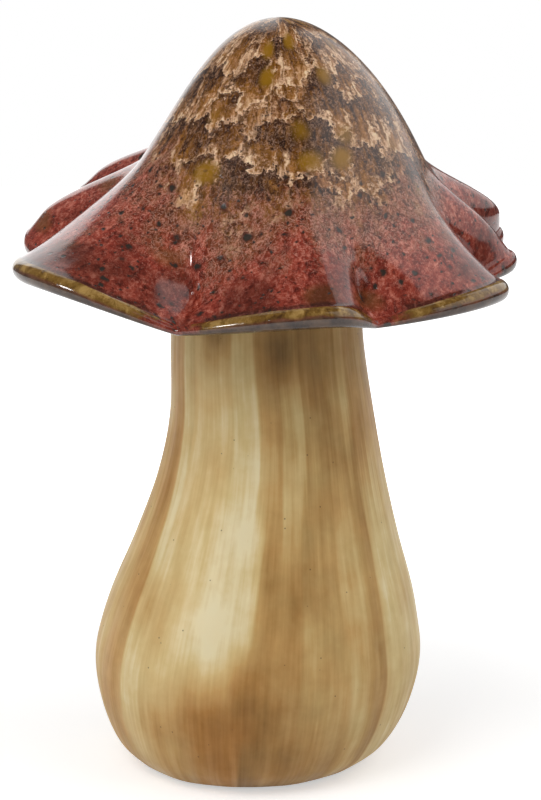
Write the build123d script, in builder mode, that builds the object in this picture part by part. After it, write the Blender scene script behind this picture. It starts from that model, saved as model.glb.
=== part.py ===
from build123d import *
from math import cos, hypot, pi, radians, sin, sqrt
import os

os.makedirs("parts", exist_ok=True)

# Ceramic mushroom ornament in two fired pieces: a hollow stem that stands on four
# pads, and a glazed cap whose inner collar sits over the spigot on the stem's neck.
# Units are millimetres. The origin is the middle of the drain hole where it opens in
# the foot's underside, +Z is up and the photographed front faces -Y.

# Foot pads
pad_radius = 9.0
pad_thickness = 1.2
pad_circle = 31.0
pad_count = 4

# Stem, its outside
stem_height = 240.0
foot_radius = 47.0
bulb_radius = 68.4
neck_radius = 39.0
stem_sway = 9.7
neck_shift = 7.0

# Stem, its inside
stem_wall = 6.0
stem_floor = 8.0
drain_radius = 10.0
throat_radius = 19.0

# Spigot on the stem's neck and the cushion ring round it
spigot_radius = 26.0
spigot_height = 22.0
spigot_chamfer = 2.0
ring_thickness = 2.0
ring_width = 7.0
ring_clearance = 0.5

# Cap, its outside: the crown rises above the stem's shoulder and the brim drops below
crown_rise = 70.2
brim_drop = 39.2
crown_curve = 28.1
crown_shift = 12.6
crown_bow = 2.8
brim_reach = 102.0
lobe_lift = 32.0
lip_depth = 8.6
lip_bulge = 4.8
fold_lip_depth = 4.0
fold_lip_bulge = 3.4
groove_depth = 6.5

# Cap, its inside
cap_wall = 6.0
collar_clearance = 1.0
collar_wall = 6.5

# Heights and places that follow from the sizes above
cap_height = stem_height + crown_rise
brim_height = stem_height - brim_drop
spigot_top = stem_height + spigot_height
collar_bottom = stem_height + ring_thickness
collar_inner = spigot_radius + collar_clearance
collar_outer = collar_inner + collar_wall

# The stem from the foot to the shoulder. Each row holds the height as a share of the
# stem's height, the radius as a share of the way from the neck's to the bulb's, and
# the sideways sway as a share of the stem's sway.
stem_shares = [
    (0.007, 0.38, 0.05),
    (0.037, 0.63, 0.15),
    (0.085, 0.835, 0.25),
    (0.145, 0.97, 0.33),
    (0.195, 1.0, 0.39),
    (0.245, 0.935, 0.46),
    (0.305, 0.81, 0.58),
    (0.40, 0.54, 0.77),
    (0.51, 0.275, 0.96),
    (0.615, 0.11, 0.99),
    (0.73, 0.03, 0.80),
    (0.81, 0.0, 0.75),
    (0.90, 0.0, 0.72),
]

# The brim's folds and lobes in turn, from the front fold left of the middle and on
# to the right. Each row holds the azimuth in degrees from the front, the lip's reach
# as a share of the brim's, its height as a share of the lobe lift, and how far the
# outside of the lobe spreads into a shelf, from none at 0 to all at 1.
brim_shares = [
    (-23, 0.825, -0.03, 0.0),
    (16, 0.90, 0.275, 0.15),
    (30, 0.815, 0.02, 0.0),
    (64, 0.99, 0.31, 0.10),
    (80, 0.85, 0.22, 0.20),
    (92, 0.98, 0.44, 0.50),
    (102, 0.91, 0.44, 0.70),
    (112, 1.035, 0.57, 0.90),
    (133, 0.86, 0.44, 0.60),
    (153, 0.94, 0.67, 0.80),
    (172, 0.825, 0.44, 0.50),
    (191, 0.96, 0.81, 0.80),
    (210, 0.825, 0.56, 0.50),
    (229, 0.985, 1.03, 1.0),
    (243, 0.87, 0.63, 0.80),
    (257, 0.985, 0.63, 1.0),
    (273, 0.90, 0.47, 0.50),
    (302, 1.04, 0.59, 0.05),
]
full_turn = 360
fold_sharpness = 1.15

# The folds wind round the cap by this many degrees from the lip up to the crown, and
# each one sinks into a groove on the lower part of the depth.
fold_twist = 26
groove_from_share = 0.5
groove_power = 5

# How the cap's outline runs from the crown to the lip: the power by which the flare
# grows, the stretch of the depth where a shelf spreads, and the power of the lean.
flare_power = 5.3
shelf_from_share = 0.60
shelf_to_share = 0.93
lean_power = 3.5
shelf_lip_share = 0.35

# Rings of the cap's surface: places down the outside and up the inside as shares of
# the depth, the lip's rings as angles of its roll, and the points on each ring.
outside_shares = [0.012, 0.05, 0.12, 0.22, 0.34, 0.46, 0.57, 0.67, 0.76, 0.84, 0.91, 0.96, 1.0]
inside_shares = [0.95, 0.87, 0.78, 0.68, 0.57, 0.45, 0.33, 0.21, 0.11, 0.04]
lip_angles = [35, 65, 95, 130, 165]
ring_points = 120
slope_step_share = 0.004


def brim_edge(azimuth):
    """Reach, height, shelf share and lobe share of the lip's upper edge."""
    first = brim_shares[0][0]
    azimuth = first + (azimuth - first) % full_turn
    for index, low in enumerate(brim_shares):
        high = brim_shares[(index + 1) % len(brim_shares)]
        span = (high[0] - low[0]) % full_turn
        if azimuth <= low[0] + span:
            break
    way = (azimuth - low[0]) / span
    rising = index % 2 == 0
    fold, lobe = (low, high) if rising else (high, low)
    rise = sin(pi / 2 * (way if rising else 1 - way)) ** fold_sharpness
    reach, lift, shelf = (f + (c - f) * rise for f, c in zip(fold[1:], lobe[1:]))
    return brim_reach * reach, brim_height + lobe_lift * lift, shelf, rise


def cap_outline(share, azimuth):
    """Radius and height on the cap's outside at a share of the depth to the lip."""
    reach, edge_height, shelf, rise = brim_edge(azimuth + fold_twist * (1 - share))
    depth = cap_height - edge_height
    flare = reach - sqrt(2 * crown_curve * depth)
    way = min(max((share - shelf_from_share) / (shelf_to_share - shelf_from_share), 0), 1)
    spread = (1 - shelf) * share ** flare_power + shelf * way * way * (3 - 2 * way)
    along = min(max((share - groove_from_share) / (1 - groove_from_share), 0), 1)
    groove = groove_depth * (1 - shelf) * (1 - rise) ** groove_power * sin(pi * along ** 4) ** 2
    radius = sqrt(2 * crown_curve * depth * share) + flare * spread - groove
    return radius, cap_height - depth * share


def cap_inset(share, azimuth):
    """Radius and height on the cap's inside, one wall in from the outside."""
    low_radius, low_height = cap_outline(share - slope_step_share, azimuth)
    high_radius, high_height = cap_outline(share + slope_step_share, azimuth)
    run = high_radius - low_radius
    drop = low_height - high_height
    length = hypot(run, drop)
    radius, height = cap_outline(share, azimuth)
    return radius - cap_wall * drop / length, height - cap_wall * run / length


def lip_roll(angle, azimuth):
    """Radius and height on the rolled lip, from its upper edge at 0 to below at 180."""
    reach, edge_height, shelf, rise = brim_edge(azimuth)
    depth = fold_lip_depth + (lip_depth - fold_lip_depth) * rise
    bulge = fold_lip_bulge + (lip_bulge - fold_lip_bulge) * rise
    bulge *= 1 - (1 - shelf_lip_share) * shelf
    return (
        reach + bulge * sin(radians(angle)),
        edge_height - depth * (1 - cos(radians(angle))) / 2,
    )


def cap_axis(share):
    """Sideways place of the cap's middle at a share of the depth to the lip."""
    bow = 4 * crown_bow * share * (1 - share)
    return crown_shift + bow + (neck_shift - crown_shift) * share ** lean_power


def cap_ring(outline, place, share):
    """Closed curve round the cap through one point of the outline at each azimuth."""
    points = []
    for step in range(ring_points):
        azimuth = full_turn * step / ring_points
        radius, height = outline(place, azimuth)
        x = cap_axis(share) + radius * sin(radians(azimuth))
        y = -radius * cos(radians(azimuth))
        points.append((x, y, height))
    knots = [step / ring_points for step in range(ring_points + 1)]
    return Wire([Edge.make_spline(points, periodic=True, parameters=knots)])


def stem_sections(inset):
    """Height, radius and sideways place of each section, with the wall taken off."""
    sections = []
    for height_share, girth_share, sway_share in stem_shares:
        height = stem_height * height_share
        radius = neck_radius + (bulb_radius - neck_radius) * girth_share
        sections.append((height, radius - inset, stem_sway * sway_share))
    return sections


# Stem: hollow bulb, floor with a drain hole, shoulder and spigot
with BuildPart() as stem:
    with BuildSketch():
        Circle(foot_radius)
    for height, radius, shift in stem_sections(0):
        with BuildSketch(Plane((shift, 0, height))):
            Circle(radius)
    with BuildSketch(Plane((neck_shift, 0, stem_height))):
        Circle(neck_radius)
    loft()
    with BuildSketch(Plane((neck_shift, 0, stem_height))):
        Circle(spigot_radius)
    extrude(amount=spigot_height)
    chamfer(stem.edges().group_by(Axis.Z)[-1], spigot_chamfer)

    # The hollow keeps one wall all round and narrows to the throat under the shoulder
    ceiling_height = stem_height - stem_wall
    throat_start = ceiling_height - (neck_radius - stem_wall - throat_radius)
    with BuildSketch(Plane.XY.offset(stem_floor)):
        Circle(foot_radius + stem_floor - stem_wall)
    for height, radius, shift in stem_sections(stem_wall):
        if 2 * stem_floor < height < throat_start:
            with BuildSketch(Plane((shift, 0, height))):
                Circle(radius)
    with BuildSketch(Plane((neck_shift, 0, throat_start))):
        Circle(neck_radius - stem_wall)
    loft(mode=Mode.SUBTRACT)
    with BuildSketch(Plane((neck_shift, 0, throat_start))):
        Circle(neck_radius - stem_wall)
    with BuildSketch(Plane((neck_shift, 0, ceiling_height))):
        Circle(throat_radius)
    loft(mode=Mode.SUBTRACT)
    with BuildSketch(Plane((neck_shift, 0, ceiling_height))):
        Circle(throat_radius)
    extrude(amount=spigot_top - ceiling_height, mode=Mode.SUBTRACT)
    with BuildSketch():
        Circle(drain_radius)
    extrude(amount=stem_floor, mode=Mode.SUBTRACT)
stem.part.label = "stem"
export_step(stem.part, "parts/stem.step")

# Foot pads: soft self-adhesive discs under the stem's foot
with BuildPart() as foot_pads:
    with PolarLocations(pad_circle, pad_count, start_angle=full_turn / pad_count / 2):
        Cylinder(pad_radius, pad_thickness, align=(Align.CENTER, Align.CENTER, Align.MAX))
for number, solid in enumerate(foot_pads.part.solids(), start=1):
    with BuildPart() as foot_pad:
        add(solid)
    foot_pad.part.label = f"foot_pad_{number}"
    export_step(foot_pad.part, f"parts/foot_pad_{number}.step")

# Seat ring: soft ring on the stem's shoulder that the cap's collar rests on
with BuildPart() as seat_ring:
    with BuildSketch(Plane((neck_shift, 0, stem_height))):
        Circle(spigot_radius + ring_clearance + ring_width)
        Circle(spigot_radius + ring_clearance, mode=Mode.SUBTRACT)
    extrude(amount=ring_thickness)
seat_ring.part.label = "seat_ring"
export_step(seat_ring.part, "parts/seat_ring.step")

# Cap shell: one surface from the crown, round the rolled lip and up the inside
crown_top = Vertex(cap_axis(0), 0, cap_height)
crown_ceiling = Vertex(cap_axis(0), 0, cap_height - cap_wall)
shell_sections = [crown_top]
for share in outside_shares:
    shell_sections.append(cap_ring(cap_outline, share, share))
for angle in lip_angles:
    shell_sections.append(cap_ring(lip_roll, angle, 1))
for share in inside_shares:
    shell_sections.append(cap_ring(cap_inset, share, share))
shell_sections.append(crown_ceiling)
shell = Solid.make_loft(shell_sections)

# Cap: the glazed shell
with BuildPart() as cap:
    add(shell)
cap.part.label = "cap"
export_step(cap.part, "parts/cap.step")

# Collar: a tube about the neck's axis, luted to the inside of the crown
with BuildPart() as collar_tube:
    with BuildSketch(Plane((neck_shift, 0, collar_bottom))):
        Circle(collar_outer)
        Circle(collar_inner, mode=Mode.SUBTRACT)
    extrude(amount=cap_height - collar_bottom)
    add(shell, mode=Mode.SUBTRACT)
with BuildPart() as cap_collar:
    add(collar_tube.solids().sort_by(Axis.Z)[0])
cap_collar.part.label = "cap_collar"
export_step(cap_collar.part, "parts/cap_collar.step")
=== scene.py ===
import math

import bpy
import numpy as np
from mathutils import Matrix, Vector


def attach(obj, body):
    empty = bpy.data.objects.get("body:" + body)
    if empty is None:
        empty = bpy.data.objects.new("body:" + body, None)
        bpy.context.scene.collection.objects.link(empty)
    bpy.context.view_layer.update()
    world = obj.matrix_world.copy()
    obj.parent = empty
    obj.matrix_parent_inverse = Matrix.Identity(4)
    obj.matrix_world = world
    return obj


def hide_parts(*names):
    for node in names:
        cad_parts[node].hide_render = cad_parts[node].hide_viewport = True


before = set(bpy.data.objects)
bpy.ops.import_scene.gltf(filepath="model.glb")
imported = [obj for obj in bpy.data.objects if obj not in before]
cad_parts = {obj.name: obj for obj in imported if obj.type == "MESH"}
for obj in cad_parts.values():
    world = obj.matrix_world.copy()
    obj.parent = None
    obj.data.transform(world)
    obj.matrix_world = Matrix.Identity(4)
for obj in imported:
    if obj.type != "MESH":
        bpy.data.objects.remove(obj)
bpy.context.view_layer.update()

# A glazed ceramic mushroom. Sizes are in millimetres, as in the part they follow, and
# become metres when a mesh is made. The photographed front faces -Y and +X is right.
MM = 0.001

# Foot pads
PAD_RADIUS, PAD_THICKNESS, PAD_CIRCLE, PAD_COUNT = 9.0, 1.2, 31.0, 4

# Stem and spigot
STEM_HEIGHT, FOOT_RADIUS, BULB_RADIUS, NECK_RADIUS = 240.0, 47.0, 68.4, 39.0
STEM_SWAY, NECK_SHIFT = 9.7, 7.0
STEM_WALL, STEM_FLOOR, DRAIN_RADIUS, THROAT_RADIUS = 6.0, 8.0, 10.0, 19.0
SPIGOT_RADIUS, SPIGOT_HEIGHT, SPIGOT_CHAMFER = 26.0, 22.0, 2.0

# Seat ring
RING_THICKNESS, RING_WIDTH, RING_CLEARANCE = 2.0, 7.0, 0.5

# Cap
CAP_HEIGHT, CROWN_CURVE, CROWN_SHIFT, CROWN_BOW = 310.2, 28.1, 12.6, 2.8
BRIM_REACH, BRIM_HEIGHT, LOBE_LIFT = 102.0, 200.8, 32.0
LIP_DEPTH, LIP_BULGE, FOLD_LIP_DEPTH, FOLD_LIP_BULGE = 8.6, 4.8, 4.0, 3.4
CAP_WALL = 6.0
FOLD_SHARPNESS, FLARE_POWER, LEAN_POWER, SHELF_LIP_SHARE = 1.15, 5.3, 3.5, 0.35
FOLD_TWIST, GROOVE_DEPTH, GROOVE_FROM_SHARE, GROOVE_POWER = 26, 6.5, 0.5, 5
SHELF_FROM_SHARE, SHELF_TO_SHARE = 0.60, 0.93
SLOPE_STEP_SHARE = 0.004

# The stem's stations: height share, girth share from neck to bulb, sway share
STEM_SHARES = [
    (0.007, 0.38, 0.05), (0.037, 0.63, 0.15), (0.085, 0.835, 0.25), (0.145, 0.97, 0.33),
    (0.195, 1.0, 0.39), (0.245, 0.935, 0.46), (0.305, 0.81, 0.58), (0.40, 0.54, 0.77),
    (0.51, 0.275, 0.96), (0.615, 0.11, 0.99), (0.73, 0.03, 0.80), (0.81, 0.0, 0.75),
    (0.90, 0.0, 0.72),
]

# The brim's folds and lobes in turn: azimuth, reach share, lift share, shelf share
BRIM_SHARES = np.array([
    (-23, 0.825, -0.03, 0.0), (16, 0.90, 0.275, 0.15), (30, 0.815, 0.02, 0.0),
    (64, 0.99, 0.31, 0.10), (80, 0.85, 0.22, 0.20), (92, 0.98, 0.44, 0.50),
    (102, 0.91, 0.44, 0.70), (112, 1.035, 0.57, 0.90), (133, 0.86, 0.44, 0.60),
    (153, 0.94, 0.67, 0.80), (172, 0.825, 0.44, 0.50), (191, 0.96, 0.81, 0.80),
    (210, 0.825, 0.56, 0.50), (229, 0.985, 1.03, 1.0), (243, 0.87, 0.63, 0.80),
    (257, 0.985, 0.63, 1.0), (273, 0.90, 0.47, 0.50), (302, 1.04, 0.59, 0.05),
])


def smooth_step(value, low, high):
    """0 below low, 1 above high and an S-shaped rise between."""
    way = np.clip((value - low) / (high - low), 0, 1)
    return way * way * (3 - 2 * way)


def skin(name, rings, fields, tips=None):
    """Closed mesh through rings of points. It ends in two tips, or joins end to start."""
    rows, columns = rings.shape[:2]
    points = rings.reshape(-1, 3)
    row, column = np.meshgrid(np.arange(rows), np.arange(columns), indexing="ij")
    here = row * columns + column
    side = row * columns + (column + 1) % columns
    below = (row + 1) % rows * columns + column
    corner = (row + 1) % rows * columns + (column + 1) % columns
    faces = np.stack([here, below, corner, side], axis=-1)
    values = {key: value.reshape(-1) for key, value in fields.items()}
    if tips is not None:
        faces = faces[:-1]
    faces = faces.reshape(-1, 4).tolist()
    if tips is not None:
        first, last = len(points), len(points) + 1
        points = np.vstack([points, tips])
        values = {key: np.append(value, [value[0], value[-1]]) for key, value in values.items()}
        end = (rows - 1) * columns
        faces += [(first, c, (c + 1) % columns) for c in range(columns)]
        faces += [(last, end + (c + 1) % columns, end + c) for c in range(columns)]
    mesh = bpy.data.meshes.new(name)
    mesh.from_pydata((points * MM).tolist(), [], faces)
    for key, value in values.items():
        mesh.attributes.new(key, "FLOAT", "POINT").data.foreach_set("value", value.astype(np.float32))
    mesh.polygons.foreach_set("use_smooth", [True] * len(mesh.polygons))
    mesh.validate()
    mesh.update()
    piece = bpy.data.objects.new(name, mesh)
    bpy.context.scene.collection.objects.link(piece)
    return piece


def through(points, steps):
    """Smooth line through points with the given number of steps between each two."""
    points = np.array(points, dtype=float)
    padded = np.vstack([2 * points[0] - points[1], points, 2 * points[-1] - points[-2]])
    way = np.arange(steps)[:, None] / steps
    line = []
    for before, start, end, after in zip(padded, padded[1:], padded[2:], padded[3:]):
        gap = np.linalg.norm(end - start)
        out = (end - before) * gap / (gap + np.linalg.norm(start - before))
        into = (after - start) * gap / (gap + np.linalg.norm(after - end))
        line.append(
            start * (2 * way**3 - 3 * way**2 + 1) + end * (3 * way**2 - 2 * way**3)
            + out * (way**3 - 2 * way**2 + way) + into * (way**3 - way**2)
        )
    return np.vstack([*line, points[-1]])


# Cap: the same outline as the part's, on a fine grid
CAP_COLUMNS, OUTSIDE_ROWS, LIP_ROWS, INSIDE_ROWS = 600, 150, 14, 44
# The lip's skin ends at this angle, and the inside runs between the squares of these
LIP_END, INSIDE_FROM, INSIDE_TO = 165, 0.975, 0.3

# Lobes whose lip shows bare amber: azimuth of their middle, and half of their span
OPEN_MIDDLE, OPEN_HALF = -2, 75


def brim_edge(azimuth):
    """Reach, height, shelf share and lobe share of the lip's upper edge."""
    start = BRIM_SHARES[0, 0]
    azimuth = start + (azimuth - start) % 360
    low = np.searchsorted(BRIM_SHARES[:, 0], azimuth, side="right") - 1
    high = (low + 1) % len(BRIM_SHARES)
    span = (BRIM_SHARES[high, 0] - BRIM_SHARES[low, 0]) % 360
    way = (azimuth - BRIM_SHARES[low, 0]) / span
    rising = low % 2 == 0
    rise = np.sin(np.pi / 2 * np.where(rising, way, 1 - way)) ** FOLD_SHARPNESS
    fold = BRIM_SHARES[np.where(rising, low, high)]
    lobe = BRIM_SHARES[np.where(rising, high, low)]
    reach, lift, shelf = (fold[..., i] + (lobe[..., i] - fold[..., i]) * rise for i in (1, 2, 3))
    return BRIM_REACH * reach, BRIM_HEIGHT + LOBE_LIFT * lift, shelf, rise


def cap_outline(share, azimuth):
    """Radius and height on the cap's outside at a share of the depth to the lip."""
    reach, edge_height, shelf, rise = brim_edge(azimuth + FOLD_TWIST * (1 - share))
    depth = CAP_HEIGHT - edge_height
    flare = reach - np.sqrt(2 * CROWN_CURVE * depth)
    way = smooth_step(share, SHELF_FROM_SHARE, SHELF_TO_SHARE)
    spread = (1 - shelf) * share**FLARE_POWER + shelf * way
    along = np.clip((share - GROOVE_FROM_SHARE) / (1 - GROOVE_FROM_SHARE), 0, 1)
    groove = GROOVE_DEPTH * (1 - shelf) * (1 - rise) ** GROOVE_POWER * np.sin(np.pi * along**4) ** 2
    radius = np.sqrt(2 * CROWN_CURVE * depth * share) + flare * spread - groove
    return radius, CAP_HEIGHT - depth * share


def cap_inset(share, azimuth):
    """Radius and height on the cap's inside, one wall in from the outside."""
    low_radius, low_height = cap_outline(share - SLOPE_STEP_SHARE, azimuth)
    high_radius, high_height = cap_outline(share + SLOPE_STEP_SHARE, azimuth)
    run, drop = high_radius - low_radius, low_height - high_height
    length = np.hypot(run, drop)
    radius, height = cap_outline(share, azimuth)
    return radius - CAP_WALL * drop / length, height - CAP_WALL * run / length


def lip_roll(angle, azimuth):
    """Radius and height on the rolled lip, from its upper edge at 0 to below at 180."""
    reach, edge_height, shelf, rise = brim_edge(azimuth)
    depth = FOLD_LIP_DEPTH + (LIP_DEPTH - FOLD_LIP_DEPTH) * rise
    bulge = FOLD_LIP_BULGE + (LIP_BULGE - FOLD_LIP_BULGE) * rise
    bulge = bulge * (1 - (1 - SHELF_LIP_SHARE) * shelf)
    angle = np.radians(angle)
    return reach + bulge * np.sin(angle), edge_height - depth * (1 - np.cos(angle)) / 2


def cap_axis(share):
    """Sideways place of the cap's middle at a share of the depth to the lip."""
    bow = 4 * CROWN_BOW * share * (1 - share)
    return CROWN_SHIFT + bow + (NECK_SHIFT - CROWN_SHIFT) * share**LEAN_POWER


def cap_glazed():
    """The cap's shell: outside from the crown, round the lip and up the inside."""
    azimuth = np.arange(CAP_COLUMNS) * 360 / CAP_COLUMNS
    parts = []
    for step in range(1, OUTSIDE_ROWS + 1):
        share = (step / OUTSIDE_ROWS) ** 2
        parts.append((*cap_outline(share, azimuth), share))
    for angle in np.linspace(0, LIP_END, LIP_ROWS)[1:]:
        parts.append((*lip_roll(angle, azimuth), 1))
    for share in np.linspace(INSIDE_FROM, INSIDE_TO, INSIDE_ROWS) ** 2:
        parts.append((*cap_inset(share, azimuth), share))
    radius = np.array([part[0] for part in parts])
    height = np.array([part[1] + np.zeros(CAP_COLUMNS) for part in parts])
    middle = cap_axis(np.array([part[2] for part in parts]))[:, None]
    turn = np.radians(azimuth)[None]
    rings = np.stack([middle + radius * np.sin(turn), -radius * np.cos(turn), height], axis=-1)

    # How far each point lies down the surface from the crown, and from the lip's edge
    step = np.linalg.norm(np.diff(rings, axis=0), axis=-1)
    first = np.linalg.norm(rings[:1] - (CROWN_SHIFT, 0, CAP_HEIGHT), axis=-1)
    down = np.vstack([first, step]).cumsum(axis=0)
    past_lip = down - down[OUTSIDE_ROWS - 1]
    share = np.array([part[2] for part in parts])[:, None] + np.zeros(CAP_COLUMNS)
    shelf, rise = brim_edge(azimuth)[2:]
    in_front = abs((azimuth - OPEN_MIDDLE + 180) % 360 - 180) < OPEN_HALF
    open_lobe = rise * (1 - shelf) ** 2 * in_front + np.zeros_like(down)
    fields = {"down": down, "past_lip": past_lip, "share": share, "open_lobe": open_lobe}
    tips = [(CROWN_SHIFT, 0, CAP_HEIGHT), (CROWN_SHIFT, 0, CAP_HEIGHT - CAP_WALL)]
    return skin("cap_glazed", rings, fields, tips)


# Stem: painted outside, bare clay at the spigot, inside and under the foot
STEM_COLUMNS, OUTSIDE_STEPS, INSIDE_STEPS = 720, 11, 4
EDGE_ROUNDING = 1.2

# The foot's unevenness: up to a height, by a depth and a swing of waves, each of a
# size, a count and a phase
WIPED_HEIGHT, WIPED_DEPTH, WIPED_SWING = 9, 0.8, 0.5
WIPED_WAVES = ((0.9, 3, 0.7), (0.6, 7, 2.1), (0.4, 13, 0.0))

# Strokes: their edges in degrees, ends in height share, cover, and waves of their sides
# and of their ends. The paint below them has a darkness and a warmth of its own.
CRISP_EDGE, SOFT_EDGE, LOW_FADE, HIGH_FADE, STROKE_COVER = 1.8, 9.0, 0.08, 0.10, 0.88
SIDE_WAVES, END_WAVES = ((1.5, 6), (0.5, 17)), ((0.02, 1.3), (0.015, 2.9))
BASE_DARKNESS, BASE_WARMTH = 0.35, 0.5

# Brush strokes on the stem, one over another: azimuth from and to, height share from
# and to, darkness of the paint, its warmth from olive to orange, and the crisp side
LEFT, RIGHT, BOTH, NEITHER = range(4)
STROKES = [
    (-100, -64, -0.1, 1.1, 0.24, 0.75, NEITHER),
    (-70, -55, 0.00, 1.1, 0.50, 0.80, RIGHT),
    (-56, -47, 0.40, 1.1, 0.16, 0.40, LEFT),
    (-55, -37, 0.09, 0.52, 0.12, 0.50, LEFT),
    (-48, -21, 0.44, 1.1, 0.16, 0.75, LEFT),
    (-40, -21, 0.02, 0.46, 0.24, 0.55, NEITHER),
    (-22, -7, 0.36, 1.1, 0.04, 0.40, BOTH),
    (-26, -3, 0.17, 0.50, 0.12, 0.40, NEITHER),
    (-8, 8, 0.40, 1.1, 0.40, 0.60, LEFT),
    (-2.6, 7, -0.1, 0.50, 0.60, 0.55, LEFT),
    (7, 20, 0.42, 1.1, 0.26, 0.35, LEFT),
    (5, 12, 0.03, 0.48, 0.50, 0.55, NEITHER),
    (10, 17, 0.09, 0.42, 0.64, 0.55, RIGHT),
    (16, 33, -0.1, 0.56, 0.54, 0.35, LEFT),
    (19, 45, 0.40, 1.1, 0.60, 0.40, LEFT),
    (32, 44, 0.00, 0.56, 0.36, 0.40, NEITHER),
    (44, 51, 0.46, 1.1, 0.24, 0.40, LEFT),
    (51, 92, 0.50, 1.1, 0.58, 0.65, LEFT),
    (43, 50, 0.02, 0.60, 0.62, 0.40, RIGHT),
    (50, 92, 0.04, 0.52, 0.22, 0.35, LEFT),
    (-25, -4, -0.1, 0.15, 0.60, 0.95, NEITHER),
    (-60, -36, -0.1, 0.10, 0.42, 0.60, NEITHER),
    (-38, -24, -0.1, 0.15, 0.46, 0.55, LEFT),
    (0, 34, -0.1, 0.15, 0.58, 0.50, NEITHER),
    (-6, 2, -0.1, 0.12, 0.78, 0.15, LEFT),
    (92, 118, -0.1, 1.1, 0.44, 0.55, LEFT),
    (112, 128, 0.05, 0.80, 0.20, 0.40, BOTH),
    (126, 150, -0.1, 1.1, 0.60, 0.60, LEFT),
    (148, 163, 0.20, 1.1, 0.22, 0.45, NEITHER),
    (160, 171, -0.1, 0.55, 0.62, 0.40, RIGHT),
    (168, 190, -0.1, 1.1, 0.40, 0.65, NEITHER),
    (188, 202, 0.10, 1.1, 0.18, 0.35, LEFT),
    (200, 224, -0.1, 1.1, 0.58, 0.55, LEFT),
    (222, 236, 0.30, 1.1, 0.28, 0.50, BOTH),
    (232, 248, -0.1, 0.70, 0.50, 0.80, RIGHT),
    (246, 262, 0.05, 1.1, 0.22, 0.40, NEITHER),
]

# Softer patches, some of them painted light: azimuth, height share, half size of each, darkness, warmth,
# cover
PATCHES_AND_PAINTED_LIGHT = [
    # Painted highlight: the light sheen on the bulb, left of the middle
    (-18, 0.36, 13, 0.17, -0.12, 0.20, 0.8),
    (-13, 0.13, 15, 0.085, 0.88, 1.05, 0.9),
    (-6, 0.20, 5, 0.08, 0.80, 0.90, 0.6),
    # Painted shadow of the cap on the neck, in two patches
    (-31, 0.80, 14, 0.07, 0.82, 0.15, 0.9),
    (6, 0.76, 13, 0.06, 0.92, 0.35, 0.9),
    (40, 0.80, 40, 0.14, 0.70, 0.35, 0.5),
    (215, 0.85, 30, 0.10, 0.80, 0.30, 0.6),
    (100, 0.10, 30, 0.08, 0.65, 0.60, 0.6),
    (200, 0.14, 26, 0.07, 0.68, 0.80, 0.6),
]


def stem_lines():
    """Outside line and inside line of the stem's section: height, radius and shift."""
    outside = [(0, FOOT_RADIUS, 0)]
    inside = [(STEM_FLOOR, FOOT_RADIUS + STEM_FLOOR - STEM_WALL, 0)]
    throat_start = STEM_HEIGHT - STEM_WALL - (NECK_RADIUS - STEM_WALL - THROAT_RADIUS)
    for height_share, girth_share, sway_share in STEM_SHARES:
        height = STEM_HEIGHT * height_share
        radius = NECK_RADIUS + (BULB_RADIUS - NECK_RADIUS) * girth_share
        outside.append((height, radius, STEM_SWAY * sway_share))
        if 2 * STEM_FLOOR < height < throat_start:
            inside.append((height, radius - STEM_WALL, STEM_SWAY * sway_share))
    outside.append((STEM_HEIGHT, NECK_RADIUS, NECK_SHIFT))
    inside.append((throat_start, NECK_RADIUS - STEM_WALL, NECK_SHIFT))
    return through(outside, OUTSIDE_STEPS), through(inside, INSIDE_STEPS)


def stem_section():
    """Section of the skin: up the painted outside, over the spigot and down the inside.
    Its rows hold a height, a radius and a shift, and come with the number painted."""
    outside, inside = stem_lines()
    top = STEM_HEIGHT + SPIGOT_HEIGHT
    round_off = EDGE_ROUNDING
    upper = [
        (STEM_HEIGHT - 0.3 * round_off, NECK_RADIUS - 0.1 * round_off),
        (STEM_HEIGHT, NECK_RADIUS - round_off),
        (STEM_HEIGHT, SPIGOT_RADIUS + round_off),
        (STEM_HEIGHT + 0.3 * round_off, SPIGOT_RADIUS + 0.2 * round_off),
        (STEM_HEIGHT + round_off, SPIGOT_RADIUS),
        (top - SPIGOT_CHAMFER - 0.2, SPIGOT_RADIUS),
        (top - SPIGOT_CHAMFER + 0.3, SPIGOT_RADIUS - 0.5),
        (top - 0.4, SPIGOT_RADIUS - SPIGOT_CHAMFER + 0.2),
        (top, SPIGOT_RADIUS - SPIGOT_CHAMFER - 0.4),
        (top, THROAT_RADIUS + round_off),
        (top - 0.3 * round_off, THROAT_RADIUS + 0.3 * round_off),
        (top - round_off, THROAT_RADIUS),
        (STEM_HEIGHT - STEM_WALL, THROAT_RADIUS),
    ]
    upper = np.array([(height, radius, NECK_SHIFT) for height, radius in upper])
    lower = np.array([
        (STEM_FLOOR, DRAIN_RADIUS + round_off, 0),
        (STEM_FLOOR - round_off, DRAIN_RADIUS, 0),
        (round_off, DRAIN_RADIUS, 0),
        (0, DRAIN_RADIUS + round_off, 0),
        (0, 0.5 * (DRAIN_RADIUS + FOOT_RADIUS), 0),
        (0, FOOT_RADIUS - 2 * round_off, 0),
        (0.3 * round_off, FOOT_RADIUS - 0.4 * round_off, 0),
    ])
    painted_line = outside[2:-1]
    return np.vstack([painted_line, upper, inside[::-1], lower]), len(painted_line)


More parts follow.
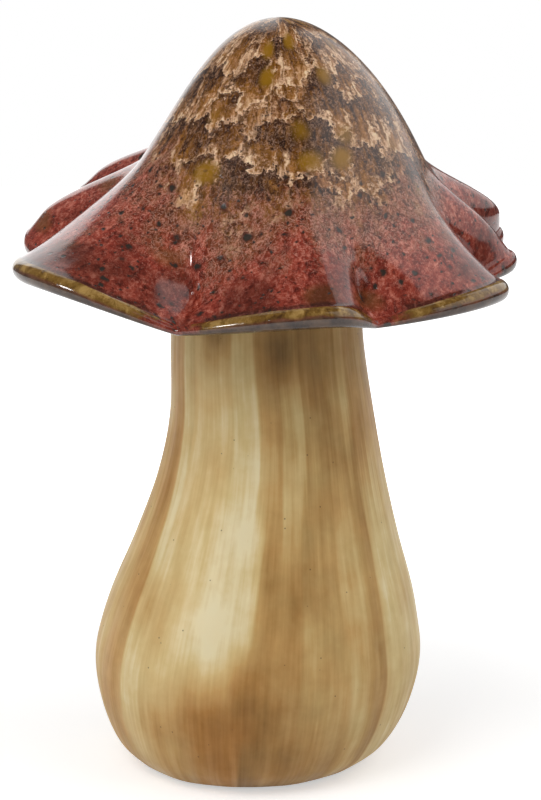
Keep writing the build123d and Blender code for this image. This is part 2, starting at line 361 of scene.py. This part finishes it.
def brushed(azimuth, share):
    """Darkness and warmth of the paint and of painted light, from strokes and patches over one another."""
    full = np.zeros(np.broadcast(azimuth, share).shape)
    dark, warm = full + BASE_DARKNESS, full + BASE_WARMTH
    (broad_side, broad_count), (fine_side, fine_count) = SIDE_WAVES
    (broad_end, broad_rate), (fine_end, fine_rate) = END_WAVES
    for start, end, low_end, high_end, darkness, warmth, crisp in STROKES:
        soft_start = CRISP_EDGE if crisp in (LEFT, BOTH) else SOFT_EDGE
        soft_end = CRISP_EDGE if crisp in (RIGHT, BOTH) else SOFT_EDGE
        middle = (start + end) / 2
        half = (end - start) / 2
        wander = broad_side * np.sin(broad_count * share + start)
        wander = wander + fine_side * np.sin(fine_count * share + 2 * end)
        off = (azimuth - middle - wander + 180) % 360 - 180
        across = smooth_step(off, -half - soft_start / 2, -half + soft_start / 2)
        across = across * (1 - smooth_step(off, half - soft_end / 2, half + soft_end / 2))
        ragged = share + broad_end * np.sin(broad_rate * azimuth + start)
        ragged = ragged + fine_end * np.sin(fine_rate * azimuth + end)
        along = smooth_step(ragged, low_end - LOW_FADE, low_end + LOW_FADE)
        along = along * (1 - smooth_step(ragged, high_end - HIGH_FADE, high_end + HIGH_FADE))
        weight = STROKE_COVER * across * along
        dark = dark + (darkness - dark) * weight
        warm = warm + (warmth - warm) * weight
    # Patches, among them a painted highlight on the bulb and painted shadow of the cap on the neck
    for middle, level, half, half_share, darkness, warmth, cover in PATCHES_AND_PAINTED_LIGHT:
        off = ((azimuth - middle + 180) % 360 - 180) / half
        weight = cover * np.exp(-off**2 - ((share - level) / half_share) ** 2)
        dark = dark + (darkness - dark) * weight
        warm = warm + (warmth - warm) * weight
    return dark, warm


def stem_painted():
    """The stem in one skin, with the fields that its paint is mixed by."""
    line, painted_rows = stem_section()
    height, radius, shift = (line[:, i][:, None] for i in range(3))
    azimuth = np.arange(STEM_COLUMNS)[None] * 360 / STEM_COLUMNS
    turn = np.radians(azimuth)
    painted = (np.arange(len(line)) < painted_rows).astype(float)[:, None]

    # The foot is uneven where the wet clay was wiped and set down
    low = painted * (1 - smooth_step(height, 0, WIPED_HEIGHT))
    uneven = sum(size * np.sin(count * turn + phase) for size, count, phase in WIPED_WAVES)
    radius = radius - low * (WIPED_DEPTH + WIPED_SWING * uneven)

    dark, warm = brushed(azimuth, height / STEM_HEIGHT)
    full = np.zeros_like(dark)
    rings = np.stack([
        shift + radius * np.sin(turn), -radius * np.cos(turn), height + 0 * turn,
    ], axis=-1)
    fields = {
        "dark": dark,
        "warm": warm,
        "painted": painted + full,
        "side": NECK_RADIUS * np.sin(turn) + full,
        "front": -NECK_RADIUS * np.cos(turn) + full,
    }
    return skin("stem_painted", rings, fields)


# Seat ring and foot pads
RING_CORNER, RING_CORNER_POINTS, RING_COLUMNS = 0.7, 7, 180
PAD_COLUMNS, FUZZ_DEPTH, FUZZ_WAVES, FUZZ_FROM = 96, 0.012, 11, 0.8

# A pad's section, as shares of its thickness down and of its radius out
PAD_SHARES = np.array([
    (0, 2 / 9), (0, 5 / 9), (0, 8 / 9), (-0.15 / 1.2, 8.8 / 9), (-0.4 / 1.2, 1),
    (-0.75 / 1.2, 8.95 / 9), (-1.05 / 1.2, 8.7 / 9), (-1, 8.2 / 9), (-1, 5 / 9), (-1, 2 / 9),
])


def seat_ring_soft():
    """The rubber ring on the shoulder, with rounded edges."""
    inner = SPIGOT_RADIUS + RING_CLEARANCE
    outer = inner + RING_WIDTH
    half = RING_THICKNESS / 2
    line = []
    for centre, start in ((outer - RING_CORNER, 0), (inner + RING_CORNER, 180)):
        for angle in np.radians(np.linspace(-90, 90, RING_CORNER_POINTS) + start):
            side = np.sign(np.round(np.sin(angle), 6))
            height = half + (half - RING_CORNER) * side + RING_CORNER * np.sin(angle)
            line.append((height, centre + RING_CORNER * np.cos(angle)))
    line = np.array(line)
    turn = np.radians(np.arange(RING_COLUMNS)[None] * 360 / RING_COLUMNS)
    height, radius = line[:, :1], line[:, 1:]
    rings = np.stack([
        NECK_SHIFT + radius * np.sin(turn), -radius * np.cos(turn), STEM_HEIGHT + height + 0 * turn,
    ], axis=-1)
    return skin("seat_ring_soft", rings, {})


def foot_pad(number):
    """One felt disc under the foot, with soft edges."""
    angle = math.radians(360 / PAD_COUNT * (number - 0.5))
    middle = np.array([PAD_CIRCLE * math.cos(angle), PAD_CIRCLE * math.sin(angle), 0])
    turn = np.radians(np.arange(PAD_COLUMNS)[None] * 360 / PAD_COLUMNS)
    height, radius = PAD_SHARES[:, :1] * PAD_THICKNESS, PAD_SHARES[:, 1:] * PAD_RADIUS
    fuzzy = (1 + np.sin(FUZZ_WAVES * turn + number)) * (radius > FUZZ_FROM * PAD_RADIUS)
    radius = radius * (1 - FUZZ_DEPTH * fuzzy)
    rings = np.stack([
        middle[0] + radius * np.sin(turn), middle[1] - radius * np.cos(turn), height + 0 * turn,
    ], axis=-1)
    tips = [tuple(middle), (middle[0], middle[1], -PAD_THICKNESS)]
    return skin(f"foot_pad_felt_{number}", rings, {}, tips)


# Materials
def colour(red, green, blue):
    """Linear colour from one written as it shows on a screen, 0 to 255."""
    parts = [part / 255 for part in (red, green, blue)]
    return (*[p / 12.92 if p <= 0.04045 else ((p + 0.055) / 1.055) ** 2.4 for p in parts], 1)


class Nodes:
    """Short ways to add nodes to a tree."""

    def __init__(self, tree):
        self.tree = tree

    def put(self, socket, value):
        """Links a socket, or sets it if the value is plain."""
        if isinstance(value, bpy.types.NodeSocket):
            self.tree.links.new(value, socket)
        elif value is not None:
            socket.default_value = value

    def add(self, kind, **settings):
        """New node of a kind, with its settings."""
        node = self.tree.nodes.new(kind)
        for key, value in settings.items():
            setattr(node, key, value)
        return node

    def math(self, operation, *values):
        """Result of an operation on numbers."""
        node = self.add("ShaderNodeMath", operation=operation)
        for socket, value in zip(node.inputs, values):
            self.put(socket, value)
        return node.outputs[0]

    def total(self, *values):
        """Sum of several values."""
        result = values[0]
        for value in values[1:]:
            result = self.math("ADD", result, value)
        return result

    def times(self, *values):
        """Product of several values."""
        result = values[0]
        for value in values[1:]:
            result = self.math("MULTIPLY", result, value)
        return result

    def swing(self, noise, amount):
        """A noise as an offset to both sides of zero, times an amount."""
        return self.times(self.math("SUBTRACT", noise, 0.5), amount)

    def vector(self, operation, *values):
        """Result of an operation on vectors: a number for a length, or else a vector."""
        node = self.add("ShaderNodeVectorMath", operation=operation)
        for socket, value in zip(node.inputs, values):
            self.put(socket, value)
        return node.outputs["Value" if operation == "LENGTH" else "Vector"]

    def scaled(self, vector, factor):
        """A vector times a number."""
        node = self.add("ShaderNodeVectorMath", operation="SCALE")
        self.put(node.inputs[0], vector)
        self.put(node.inputs["Scale"], factor)
        return node.outputs[0]

    def join(self, x, y, z):
        """Vector of three numbers."""
        node = self.add("ShaderNodeCombineXYZ")
        for socket, value in zip(node.inputs, (x, y, z)):
            self.put(socket, value)
        return node.outputs[0]

    def split(self, vector):
        """The three numbers of a vector or a colour."""
        node = self.add("ShaderNodeSeparateXYZ")
        self.put(node.inputs[0], vector)
        return node.outputs

    def field(self, name):
        """A value that the mesh holds at each point."""
        return self.add("ShaderNodeAttribute", attribute_name=name).outputs["Fac"]

    def place(self):
        """The point's place on the piece, in millimetres."""
        return self.scaled(self.add("ShaderNodeTexCoord").outputs["Object"], 1 / MM)

    def rise(self, value, low, high, start=0.0, end=1.0):
        """S-shaped change from start to end as the value goes from low to high."""
        node = self.add("ShaderNodeMapRange", interpolation_type="SMOOTHSTEP")
        for socket, given in zip(node.inputs, (value, low, high, start, end)):
            self.put(socket, given)
        return node.outputs[0]

    def noise(self, vector, size, detail=3.0, roughness=0.5, distortion=0.0, output="Fac"):
        """Noise with features of about the given size in millimetres."""
        node = self.add("ShaderNodeTexNoise")
        self.put(node.inputs["Vector"], vector)
        self.put(node.inputs["Scale"], 1 / size)
        self.put(node.inputs["Detail"], detail)
        self.put(node.inputs["Roughness"], roughness)
        self.put(node.inputs["Distortion"], distortion)
        return node.outputs[output]

    def cells(self, vector, size, feature="F1", randomness=1.0):
        """Cells of about the given size in millimetres."""
        node = self.add("ShaderNodeTexVoronoi", feature=feature)
        self.put(node.inputs["Vector"], vector)
        self.put(node.inputs["Scale"], 1 / size)
        self.put(node.inputs["Randomness"], randomness)
        return node.outputs

    def mix(self, share, low, high, blend="MIX"):
        """Colour between two, by a share."""
        node = self.add("ShaderNodeMix", data_type="RGBA", blend_type=blend)
        # Its colour sockets share their names with those of other types, so they go by number
        self.put(node.inputs["Factor"], share)
        self.put(node.inputs[6], low)
        self.put(node.inputs[7], high)
        return node.outputs[2]

    def ramp(self, value, *stops):
        """Colour by a value, between stops of a place and a colour."""
        node = self.add("ShaderNodeValToRGB")
        elements = node.color_ramp.elements
        while len(elements) < len(stops):
            elements.new(0.5)
        for element, (position, shade) in zip(elements, stops):
            element.position, element.color = position, shade
        self.put(node.inputs[0], value)
        return node.outputs[0]

    def bump(self, height, distance, strength=1.0, below=None):
        """Normal of a relief of the given depth in millimetres, over the one below."""
        node = self.add("ShaderNodeBump")
        self.put(node.inputs["Height"], height)
        self.put(node.inputs["Distance"], distance * MM)
        self.put(node.inputs["Strength"], strength)
        self.put(node.inputs["Normal"], below)
        return node.outputs[0]


class Material(Nodes):
    """A material and its surface shader."""

    def __init__(self, name):
        self.material = bpy.data.materials.new(name)
        self.material.use_nodes = True
        super().__init__(self.material.node_tree)
        self.shader = self.tree.nodes["Principled BSDF"]

    def finish(self, **sockets):
        """Sets or links the shader's sockets, named with _ for a space."""
        for key, value in sockets.items():
            self.put(self.shader.inputs[key.replace("_", " ")], value)
        return self.material


# The glaze's colours, from dark to light
TAN = (
    (0.33, colour(58, 30, 12)), (0.42, colour(98, 56, 22)), (0.50, colour(126, 80, 40)),
    (0.58, colour(158, 112, 74)), (0.70, colour(208, 174, 144)),
)
FEATHER = (
    (0.00, colour(56, 30, 8)), (0.18, colour(96, 58, 10)), (0.38, colour(126, 82, 22)),
    (0.60, colour(146, 100, 50)), (0.90, colour(196, 156, 116)),
)
CRIMSON = (
    (0.34, colour(70, 20, 12)), (0.44, colour(122, 42, 30)), (0.54, colour(154, 64, 48)),
    (0.66, colour(198, 116, 96)),
)
BETWEEN = (
    (0.38, colour(60, 24, 12)), (0.46, colour(94, 44, 22)), (0.54, colour(126, 66, 40)),
    (0.64, colour(188, 128, 100)),
)
AMBER = ((0.34, colour(70, 42, 12)), (0.5, colour(118, 86, 34)), (0.66, colour(168, 134, 76)))
UNDER_LIP = ((0.35, colour(52, 34, 26)), (0.65, colour(96, 72, 54)))

# Feathers: their size in millimetres, and the luck at which one starts to show and shows
# in full
FEATHERS = ((7.0, 0.10, 0.5), (12.0, 0.05, 0.35))
# Pits: their spacing in millimetres, and the widest radius as a share of it
PITS = ((9.0, 0.19), (5.5, 0.21), (3.2, 0.20))
# The drops' spacing, and the radius of the cylinder round the crown that streaks lie on
DROP_SPACING, STREAK_RADIUS = 15, 42


class Glaze(Material):
    """The glaze's material, with the coordinates and noises that its parts share."""

    def __init__(self, name):
        super().__init__(name)
        self.spot = self.place()
        self.x, self.y, _ = self.split(self.spot)
        self.down, self.past_lip, self.share = (self.field(name) for name in ("down", "past_lip", "share"))

        # Offsets that bend everything: slow, and fast
        half = (0.5, 0.5, 0.5)
        slow = self.vector("SUBTRACT", self.noise(self.spot, 16, 2, output="Color"), half)
        fast = self.vector("SUBTRACT", self.noise(self.spot, 3.0, 4, 0.65, output="Color"), half)
        self.drift, self.ripple = self.scaled(slow, 12), self.scaled(fast, 9)

        # Coordinates of the feathers and the streaks, which lie round the crown and down
        # the slope, and of the lace, which lies on the surface
        out = self.join(self.math("SUBTRACT", self.x, CROWN_SHIFT), self.y, 0)
        self.around = self.split(self.scaled(self.vector("NORMALIZE", out), STREAK_RADIUS))
        flat = self.vector("ADD", self.slope(0.62), self.drift)
        self.warped = self.vector("ADD", flat, self.scaled(self.ripple, 1.1))
        run = self.vector("ADD", self.slope(0.2), self.scaled(self.drift, 0.35))
        self.streaked = self.vector("ADD", run, self.scaled(self.ripple, 0.30))
        surface = self.join(self.x, self.y, self.times(self.down, 0.7))
        self.curled = self.vector("ADD", surface, self.scaled(self.ripple, 0.3))

        # Streaks, a lace of pale crystals, and threads along the lace's middle level
        self.streak = self.noise(self.streaked, 1.5, 4, 0.66)
        self.lace = self.noise(self.curled, 2.0, 6, 0.78, 0.8)
        self.fleck = self.total(self.times(self.lace, 0.5), self.times(self.streak, 0.5))
        thread = self.math("SUBTRACT", self.noise(self.curled, 2.4, 3, 0.6, 1.5), 0.5)
        self.threads = self.rise(self.math("ABSOLUTE", thread), 0.05, 0.01)
        drop_place = self.vector("ADD", self.slope(0.8), self.scaled(self.drift, 0.3))
        self.drop = self.cells(drop_place, DROP_SPACING, randomness=0.6)
        self.drop_luck = self.split(self.drop["Color"])

    def slope(self, factor):
        """Place round the crown and, times a factor, down the slope."""
        return self.join(self.around[0], self.around[1], self.times(self.down, factor))


def tan_glaze(n):
    """Feathers that ran down the crown, each an olive hollow that pales downwards to a
    frilled border, with shadow between them, and soft honey-gold drops."""
    cloud = n.noise(n.spot, 9, 3, 0.55)
    tan = n.ramp(n.total(n.fleck, n.swing(cloud, 0.3)), *TAN)
    grain = n.total(n.swing(n.streak, 1.1), n.swing(n.lace, 0.35))
    for size, least, most in FEATHERS:
        here = n.vector("ADD", n.warped, (3 * size, 0, 0))
        cell = n.cells(here, size)
        edge = n.cells(here, size, "DISTANCE_TO_EDGE")["Distance"]
        luck = n.split(cell["Color"])
        low = n.math("DIVIDE", n.split(n.vector("SUBTRACT", here, cell["Position"]))[2], size)
        out = n.total(n.times(cell["Distance"], 0.45), n.times(low, 0.62), grain, 0.05)
        feather = n.ramp(out, *FEATHER)
        shadow = n.times(n.rise(edge, 0.16, 0.02), n.rise(low, 0.10, -0.15), 0.8)
        feather = n.mix(shadow, feather, colour(50, 26, 16))
        border = n.rise(n.total(edge, n.times(grain, -0.16)), 0.13, 0.02)
        frill = n.times(border, n.rise(low, -0.12, 0.15), n.rise(n.fleck, 0.42, 0.54, 0.25, 0.95))
        feather = n.mix(frill, feather, colour(228, 194, 166))
        tan = n.mix(n.rise(luck[1], least, most, 0, 0.95), tan, feather)
    grain = n.total(n.times(n.lace, 0.35), n.times(n.streak, 0.65))
    grey = n.ramp(grain, (0.38, (0.16, 0.11, 0.05, 1)), (0.62, (0.78, 0.72, 0.62, 1)))
    tan = n.mix(0.65, tan, grey, "OVERLAY")
    tan = n.mix(n.times(n.threads, n.rise(n.lace, 0.42, 0.56), 0.4), tan, colour(212, 166, 138))
    drops = n.times(n.rise(n.drop["Distance"], 0.38, 0.12), n.rise(n.drop_luck[0], 0.40, 0.44), 0.9)
    return n.mix(drops, tan, colour(142, 100, 4))


def crimson_glaze(n):
    """Crimson with a pink lace that thins out to the brim, olive blots and burnt patches."""
    deep = n.noise(n.curled, 3.2, 4, 0.6)
    red = n.ramp(n.total(n.fleck, n.swing(deep, 0.5)), *CRIMSON)
    pale = n.times(n.threads, n.rise(n.lace, 0.44, 0.58), n.rise(n.share, 1.0, 0.7, 0.35, 1.0), 0.9)
    red = n.mix(pale, red, colour(218, 150, 130))
    olive = n.times(n.rise(n.drop["Distance"], 0.36, 0.12), n.rise(n.drop_luck[1], 0.45, 0.55), 0.6)
    red = n.mix(olive, red, colour(104, 70, 26))
    burnt = n.times(n.rise(n.noise(n.spot, 24, 2), 0.45, 0.62), n.rise(n.share, 0.7, 0.95), 0.55)
    red = n.mix(burnt, red, colour(58, 22, 12))
    left = n.rise(n.x, 30, -40, 0.15, 0.55)
    edge = n.times(n.rise(n.past_lip, -26, -3), n.field("open_lobe"), left)
    return n.mix(edge, red, colour(64, 26, 10))


def pitted(n, glaze):
    """The glaze with dark pits where it crawled, each in a stain, and the pits' share."""
    place = n.vector("ADD", n.join(n.x, n.y, n.down), n.scaled(n.ripple, 0.4))
    zone = n.rise(n.share, 0.42, 0.62)
    pits = 0.0
    for spacing, widest in PITS:
        pit = n.cells(place, spacing)
        wide = n.times(n.rise(n.split(pit["Color"])[0], 0.35, 0.8), widest)
        depth = n.math("SUBTRACT", wide, pit["Distance"])
        hole = n.times(n.rise(depth, -0.02, 0.06), zone)
        stain = n.times(n.rise(depth, -0.14, 0.0), n.rise(wide, 0.0, 0.08), zone, 0.6)
        glaze = n.mix(stain, glaze, colour(74, 28, 18))
        glaze = n.mix(n.times(hole, 0.92), glaze, colour(40, 40, 34))
        pits = n.math("MAXIMUM", pits, hole)
    return glaze, pits


def lipped(n, glaze):
    """The glaze with its lip: a dark line, an amber band where it broke thin, brown below.
    At the folds and round the tucked lobes the red runs over it."""
    bare = n.rise(n.total(n.field("open_lobe"), n.swing(n.noise(n.spot, 4, 3), 0.5)), 0.10, 0.32)
    past = n.total(n.past_lip, n.swing(n.noise(n.spot, 12, 3), 3.2))
    line = n.times(
        n.rise(past, -2.6, -0.9), n.rise(past, 1.2, -0.1), n.rise(n.lace, 0.65, 0.45, 0.5, 0.9),
        n.rise(bare, 0, 1, 0.05, 1), 0.8,
    )
    glaze = n.mix(line, glaze, colour(44, 22, 14))
    amber = n.ramp(n.noise(n.streaked, 2.4, 4, 0.6), *AMBER)
    glaze = n.mix(n.times(n.rise(past, 0.0, 0.9), n.rise(past, 6.5, 4.5), bare), glaze, amber)
    return n.mix(n.rise(past, 4.2, 6.8), glaze, n.ramp(n.noise(n.spot, 5, 4, 0.6), *UNDER_LIP))


def cap_glaze():
    """Reactive glaze: feathered tan at the crown that runs into crimson at the brim."""
    n = Glaze("cap_glaze")

    # The tan gives way lower at the front, with fingers that ran down
    finger = n.noise(n.join(n.x, n.y, n.times(n.down, 0.25)), 13, 3, 0.55)
    front = n.rise(n.y, -10, -55, -0.02, -0.15)
    level = n.total(n.share, n.swing(finger, 0.5), n.swing(n.lace, 0.45), front)
    between = n.mix(n.times(n.threads, 0.5), n.ramp(n.fleck, *BETWEEN), colour(214, 160, 138))
    glaze = n.mix(n.rise(level, 0.42, 0.60), tan_glaze(n), between)
    glaze = n.mix(n.rise(level, 0.56, 0.74), glaze, crimson_glaze(n))
    glaze, pits = pitted(n, glaze)
    glaze = lipped(n, glaze)

    relief = n.total(n.times(n.lace, 0.5), n.times(pits, -1.0))
    normal = n.bump(relief, 0.10, 0.5, n.bump(n.noise(n.spot, 10, 2), 0.4, 0.4))
    rough = n.total(n.rise(n.lace, 0.3, 0.7, 0.04, 0.10), n.rise(level, 0.68, 0.50, 0, 0.14))
    return n.finish(Base_Color=glaze, Roughness=rough, Normal=normal, IOR=1.5)


# The paint's colours from light to dark, and the clay's
OLIVE_PAINT = (
    (0.00, colour(234, 222, 184)), (0.18, colour(216, 196, 140)), (0.42, colour(190, 162, 104)),
    (0.66, colour(156, 126, 74)), (0.95, colour(106, 84, 44)),
)
ORANGE_PAINT = (
    (0.00, colour(236, 212, 160)), (0.18, colour(222, 188, 128)), (0.42, colour(204, 156, 94)),
    (0.66, colour(176, 124, 62)), (0.95, colour(134, 86, 28)),
)
BARE_CLAY = ((0.35, colour(196, 176, 148)), (0.65, colour(222, 206, 182)))


def stem_paint():
    """Ochre paint brushed over clay: broad strokes, bristle lines and dark specks."""
    n = Material("stem_paint")
    place = n.place()
    z = n.split(place)[2]
    dark, warm, painted = n.field("dark"), n.field("warm"), n.field("painted")
    side, front = n.field("side"), n.field("front")

    # Bristle lines run with the stem, from the neck to under the foot
    bristle = n.noise(n.join(side, front, n.times(z, 0.03)), 0.9, 3, 0.6)
    hair = n.noise(n.join(side, front, n.times(z, 0.05)), 2.6, 3, 0.6)
    sweep = n.noise(n.join(side, front, n.times(z, 0.16)), 8, 2, 0.5)
    cloud = n.noise(place, 22, 4, 0.6)
    tone = n.total(dark, n.swing(bristle, 0.18), n.swing(hair, 0.30), n.swing(sweep, 0.50))
    tone = n.total(tone, n.swing(cloud, 0.50))
    tint = n.total(warm, n.swing(n.noise(place, 15, 3), 0.8))
    tint = n.math("MAXIMUM", n.math("MINIMUM", tint, 1.0), 0.0)
    paint = n.mix(tint, n.ramp(tone, *OLIVE_PAINT), n.ramp(tone, *ORANGE_PAINT))
    speck = n.cells(place, 5.0)
    chance = n.split(speck["Color"])[0]
    dot = n.times(n.rise(speck["Distance"], 0.09, 0.04), n.rise(chance, 0.72, 0.75), 0.7)
    paint = n.mix(dot, paint, colour(84, 62, 40))
    shade = n.mix(painted, n.ramp(n.noise(place, 3, 5, 0.65), *BARE_CLAY), paint)
    relief = n.total(bristle, n.times(n.noise(place, 1.0, 4, 0.6), 0.5))
    normal = n.bump(relief, 0.08, 0.4)
    rough = n.rise(hair, 0.3, 0.7, 0.42, 0.62)
    return n.finish(Base_Color=shade, Roughness=rough, Normal=normal, Specular_IOR_Level=0.35)


def collar_clay():
    """Bare fired clay with a thin wash of glaze, for the collar inside the cap."""
    n = Material("collar_clay")
    place = n.place()
    shade = n.ramp(n.noise(place, 4, 5, 0.65), (0.3, colour(120, 84, 60)), (0.7, colour(190, 164, 134)))
    normal = n.bump(n.noise(place, 0.8, 4, 0.6), 0.08, 0.5)
    rough = n.rise(n.noise(place, 3, 3), 0.3, 0.7, 0.45, 0.8)
    return n.finish(Base_Color=shade, Roughness=rough, Normal=normal)


def ring_rubber():
    """Matte off-white silicone with a faint mould grain."""
    n = Material("ring_rubber")
    place = n.place()
    shade = n.ramp(n.noise(place, 6, 3), (0.3, colour(196, 190, 180)), (0.7, colour(216, 211, 202)))
    normal = n.bump(n.noise(place, 0.35, 3, 0.6), 0.03, 0.5)
    rough = n.rise(n.noise(place, 2, 3), 0.3, 0.7, 0.5, 0.7)
    return n.finish(Base_Color=shade, Roughness=rough, Normal=normal)


def pad_felt():
    """Brown felt: tangled fibres with a soft sheen."""
    n = Material("pad_felt")
    place = n.place()
    fibre = n.noise(place, 0.5, 6, 0.8, 2.0)
    shade = n.ramp(fibre, (0.3, colour(58, 44, 34)), (0.7, colour(112, 90, 70)))
    normal = n.bump(fibre, 0.15, 0.8)
    return n.finish(
        Base_Color=shade, Roughness=n.rise(fibre, 0.3, 0.7, 0.85, 1.0), Normal=normal,
        Sheen_Weight=0.4, Sheen_Roughness=0.5,
    )


def dress(piece, body, material, slot, *nodes):
    """Gives a piece its material and its body, and hides the nodes it stands for; the slot is not used."""
    piece.data.materials.append(material)
    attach(piece, body)
    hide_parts(*nodes)


dress(cap_glazed(), "cap_body", cap_glaze(), "cap_glaze", "cap")
dress(stem_painted(), "stem_body", stem_paint(), "stem_paint", "stem")
dress(seat_ring_soft(), "ring_body", ring_rubber(), "ring_rubber", "seat_ring")
felt = pad_felt()
for number in range(1, PAD_COUNT + 1):
    dress(foot_pad(number), "stem_body", felt, "pad_felt", f"foot_pad_{number}")
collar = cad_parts["cap_collar"]
collar.data.materials.clear()
collar.data.materials.append(collar_clay())


# Floor, lamps, world and camera

# The floor's half size in metres, and where it turns white, in millimetres
FLOOR_HALF, FLOOR_FADE = 1.6, (120, 420)

# Lamps: azimuth and elevation in degrees, distance, width and height in metres, radiance
LAMPS = {
    "panel_right": (75, 42, 1.3, 1.4, 1.0, 1.2),
    "panel_left": (-78, 30, 1.3, 0.6, 1.3, 1.2),
    "softbox_front": (-32, 42, 1.3, 0.7, 0.7, 3.6),
}
LAMP_AIM = (0.01, 0, 0.2)

# White panels that the glaze mirrors: azimuth from and to, elevation from and to, strength
PANELS = [(36, 160, 8, 59, 1.55), (-200, -156, -16, 59, 1.5), (-60, -45, 22, 32, 32)]

# The world's level in the gloss, away from the panels, and for all other light
DARK_FRONT, ROOM_LIGHT = 0.15, 0.38

# Camera: lens and sensor in millimetres, elevation in degrees, distance in metres, and
# the point that it aims at, in millimetres
LENS, SENSOR, CAMERA_ELEVATION, CAMERA_DISTANCE = 125, 36, 13, 1.15
CAMERA_AIM = (9, 0, 152.6)


def floor():
    """Plain pale floor that stays white to the camera and keeps the shadow."""
    corners = [(side * FLOOR_HALF, end * FLOOR_HALF, -PAD_THICKNESS * MM)
               for side, end in ((-1, -1), (1, -1), (1, 1), (-1, 1))]
    mesh = bpy.data.meshes.new("floor")
    mesh.from_pydata(corners, [], [(0, 1, 2, 3)])
    piece = bpy.data.objects.new("floor", mesh)
    bpy.context.scene.collection.objects.link(piece)
    n = Material("floor_pale")
    light = n.add("ShaderNodeLightPath").outputs
    mirrored = n.math("MAXIMUM", light["Is Glossy Ray"], light["Is Transmission Ray"])
    seen = n.math("MAXIMUM", light["Is Camera Ray"], mirrored)
    away = n.vector("LENGTH", n.place())
    mesh.materials.append(n.finish(
        Base_Color=(0.8, 0.8, 0.8, 1), Roughness=0.9, Specular_IOR_Level=0.0,
        Emission_Color=(1, 1, 1, 1), Emission_Strength=n.times(seen, n.rise(away, *FLOOR_FADE, 0.50, 1.0)),
    ))


def lamp(name, azimuth, elevation, distance, width, height, radiance):
    """Soft panel that faces the object and that the glaze doesn't mirror."""
    data = bpy.data.lights.new(name, "AREA")
    data.shape, data.size, data.size_y = "RECTANGLE", width, height
    data.energy = radiance * math.pi * width * height
    piece = bpy.data.objects.new(name, data)
    bpy.context.scene.collection.objects.link(piece)
    a, e = math.radians(azimuth), math.radians(elevation)
    way = Vector((math.sin(a) * math.cos(e), -math.cos(a) * math.cos(e), math.sin(e)))
    piece.location = Vector(LAMP_AIM) + way * distance
    piece.rotation_mode = "QUATERNION"
    piece.rotation_quaternion = way.to_track_quat("Z", "Y")
    piece.visible_glossy = False


def surroundings():
    """White to the camera; panels, a pale back and a dark front to the gloss; grey light."""
    world = bpy.data.worlds.new("studio")
    bpy.context.scene.world = world
    world.use_nodes = True
    n = Nodes(world.node_tree)
    n.tree.nodes.clear()
    x, y, z = n.split(n.add("ShaderNodeTexCoord").outputs["Generated"])
    azimuth = n.times(n.math("ARCTAN2", x, n.times(y, -1)), 180 / math.pi)
    elevation = n.times(n.math("ARCSINE", z), 180 / math.pi)
    mirrored = DARK_FRONT
    for left, right, low, high, strength in PANELS:
        inside = n.times(
            n.rise(azimuth, left - 1, left + 1), n.rise(azimuth, right + 2, right - 2),
            n.rise(elevation, low - 1, low + 1), n.rise(elevation, high + 2, high - 2),
        )
        mirrored = n.math("MAXIMUM", mirrored, n.times(inside, strength))
    light = n.add("ShaderNodeLightPath").outputs
    white = n.math("MAXIMUM", light["Is Camera Ray"], light["Is Transmission Ray"])
    strength = n.math("MAXIMUM", white, n.times(light["Is Glossy Ray"], mirrored))
    diffuse = n.times(n.math("SUBTRACT", 1.0, light["Is Glossy Ray"]), ROOM_LIGHT)
    strength = n.math("MAXIMUM", strength, diffuse)
    background = n.add("ShaderNodeBackground")
    n.put(background.inputs["Color"], (1, 1, 1, 1))
    n.put(background.inputs["Strength"], strength)
    output = n.add("ShaderNodeOutputWorld")
    n.put(output.inputs["Surface"], background.outputs[0])


def camera():
    """Long lens a little above the object, as in the photograph."""
    data = bpy.data.cameras.new("camera")
    data.sensor_width, data.lens = SENSOR, LENS
    piece = bpy.data.objects.new("camera", data)
    bpy.context.scene.collection.objects.link(piece)
    elevation = math.radians(CAMERA_ELEVATION)
    back = Vector((0, -math.cos(elevation), math.sin(elevation)))
    piece.location = Vector(CAMERA_AIM) * MM + back * CAMERA_DISTANCE
    piece.rotation_mode = "QUATERNION"
    piece.rotation_quaternion = back.to_track_quat("Z", "Y")
    bpy.context.scene.camera = piece


floor()
for name, settings in LAMPS.items():
    lamp(name, *settings)
surroundings()
camera()
bpy.context.scene.view_settings.view_transform = "Standard"
